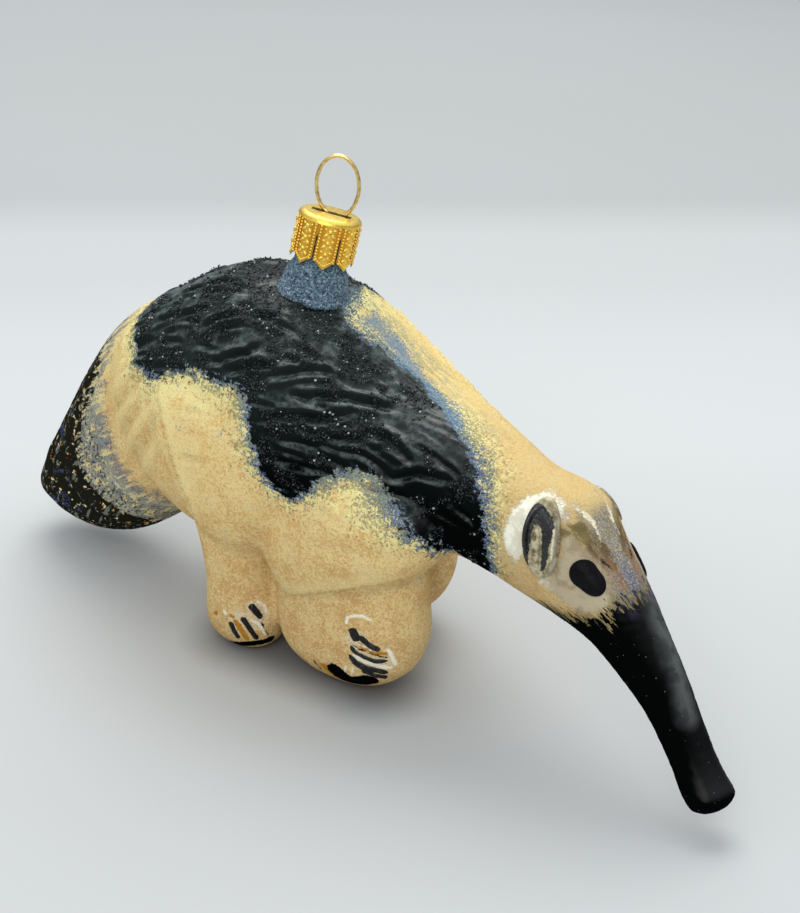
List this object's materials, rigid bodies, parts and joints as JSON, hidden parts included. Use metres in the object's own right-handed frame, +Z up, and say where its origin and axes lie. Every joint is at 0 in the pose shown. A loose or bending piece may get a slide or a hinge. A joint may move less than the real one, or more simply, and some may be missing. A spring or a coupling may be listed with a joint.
{
  "type": "blown glass anteater hanging ornament",
  "caption": "Mould-blown glass hanging ornament shaped as a walking anteater: long down-curved snout, arched back, broad drooping tail, crown cap and wire loop on a spout.",
  "frame": {"origin": "centre of the bottom of the bounding box, level with the soles of the paws", "axes": "+X from the tail to the snout, +Y to the animal's left, +Z up"},
  "size_m": [0.1642, 0.0522, 0.0941],
  "materials": {
    "frosted_cream": "matt, sugared with fine grains",
    "black_gloss": "gloss lacquer",
    "blue_frost": "matt, sugared with fine grains",
    "gold_cap": "bright",
    "gold_wire": "bright"
  },
  "bodies": {
    "root": {"torso": "frosted_cream", "neck": "frosted_cream", "head": "frosted_cream", "snout": "black_gloss", "tail": "frosted_cream", "leg_front_right": "frosted_cream", "leg_hind_right": "frosted_cream", "leg_front_left": "frosted_cream", "leg_hind_left": "frosted_cream", "claws_front_right": "black_gloss", "claws_hind_right": "black_gloss", "claws_front_left": "black_gloss", "claws_hind_left": "black_gloss", "ear_right": "black_gloss", "ear_left": "black_gloss", "eye_right": "black_gloss", "eye_left": "black_gloss", "spout": "blue_frost", "cap": "gold_cap", "hanger": "gold_wire"}
  },
  "joints": []
}
